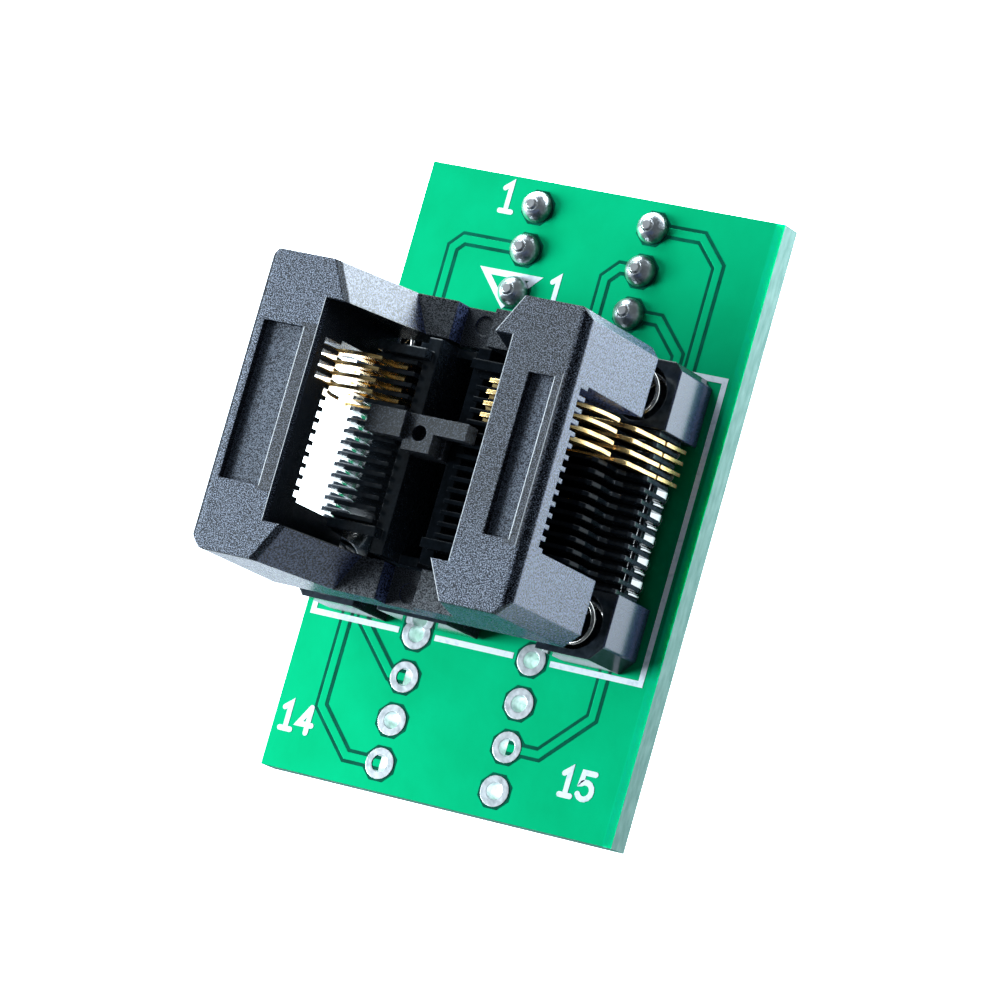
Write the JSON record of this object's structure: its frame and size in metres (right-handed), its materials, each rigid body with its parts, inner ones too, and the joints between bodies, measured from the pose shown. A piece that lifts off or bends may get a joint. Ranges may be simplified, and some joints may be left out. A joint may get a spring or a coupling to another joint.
{
  "type": "dip adapter board",
  "caption": "Dual-row pin adapter board with a spring-loaded open-top test socket: pressing the frame opens two combs of contacts for a small fine-pitch package.",
  "frame": {"origin": "middle of the fitted pins, at the plane where the pin strips seat on a host socket", "axes": "+Z out of the board towards the socket's opening, +Y along the pin rows towards the first pins, +X to the right seen from above with the first pins at the top"},
  "size_m": [0.0233, 0.0362, 0.0235],
  "materials": {
    "board": "green lacquer over glass-fibre laminate",
    "plating": "tinned",
    "strip": "moulded",
    "pin_metal": "turned and tinned",
    "solder": "bright solder",
    "base_plastic": "moulded, satin",
    "stop_plastic": "moulded, spark-eroded texture",
    "cover_plastic": "moulded, spark-eroded texture on top",
    "spring_steel": "bright wire",
    "gold": "gold-plated, stamped"
  },
  "bodies": {
    "board_and_base": {"circuit_board": "board", "pin_hole_plating": "plating", "tail_hole_plating": "plating", "left_pin_strip": "strip", "right_pin_strip": "strip", "left_pin_1": "pin_metal", "left_pin_2": "pin_metal", "left_pin_3": "pin_metal", "left_pin_4": "pin_metal", "right_pin_1": "pin_metal", "right_pin_2": "pin_metal", "right_pin_3": "pin_metal", "right_pin_4": "pin_metal", "pin_solder_joints": "solder", "tail_solder_joints": "solder", "socket_base": "base_plastic", "package_stop": "stop_plastic", "return_spring_1": "spring_steel", "return_spring_2": "spring_steel", "return_spring_3": "spring_steel", "return_spring_4": "spring_steel", "left_contact_1": "gold", "left_contact_2": "gold", "left_contact_3": "gold", "left_contact_4": "gold", "right_contact_1": "gold", "right_contact_2": "gold", "right_contact_3": "gold", "right_contact_4": "gold"},
    "pressing_frame": {"cover": "cover_plastic"},
    "left_arms": {"left_contact_arm_1": "gold", "left_contact_arm_2": "gold", "left_contact_arm_3": "gold", "left_contact_arm_4": "gold"},
    "right_arms": {"right_contact_arm_1": "gold", "right_contact_arm_2": "gold", "right_contact_arm_3": "gold", "right_contact_arm_4": "gold"}
  },
  "joints": [
    {"name": "frame_press", "type": "slide", "parent": "board_and_base", "child": "pressing_frame", "axis": [0, 0, -1], "range_m": [0, 0.0022], "stiffness_N_per_m": 500, "springref_m": -0.002, "deforming": ["return_spring_1", "return_spring_2", "return_spring_3", "return_spring_4"]},
    {"name": "left_arms_open", "type": "hinge", "parent": "board_and_base", "child": "left_arms", "pos_m": [-0.0044, -0.00945, 0.01225], "axis": [0, -1, 0], "range_deg": [0, 14]},
    {"name": "right_arms_open", "type": "hinge", "parent": "board_and_base", "child": "right_arms", "pos_m": [0.0044, -0.00945, 0.01225], "axis": [0, 1, 0], "range_deg": [0, 14]}
  ],
  "couplings": [
    {"joint": "left_arms_open", "follows": "frame_press", "rad_per_m": 111.07},
    {"joint": "right_arms_open", "follows": "frame_press", "rad_per_m": 111.07}
  ]
}
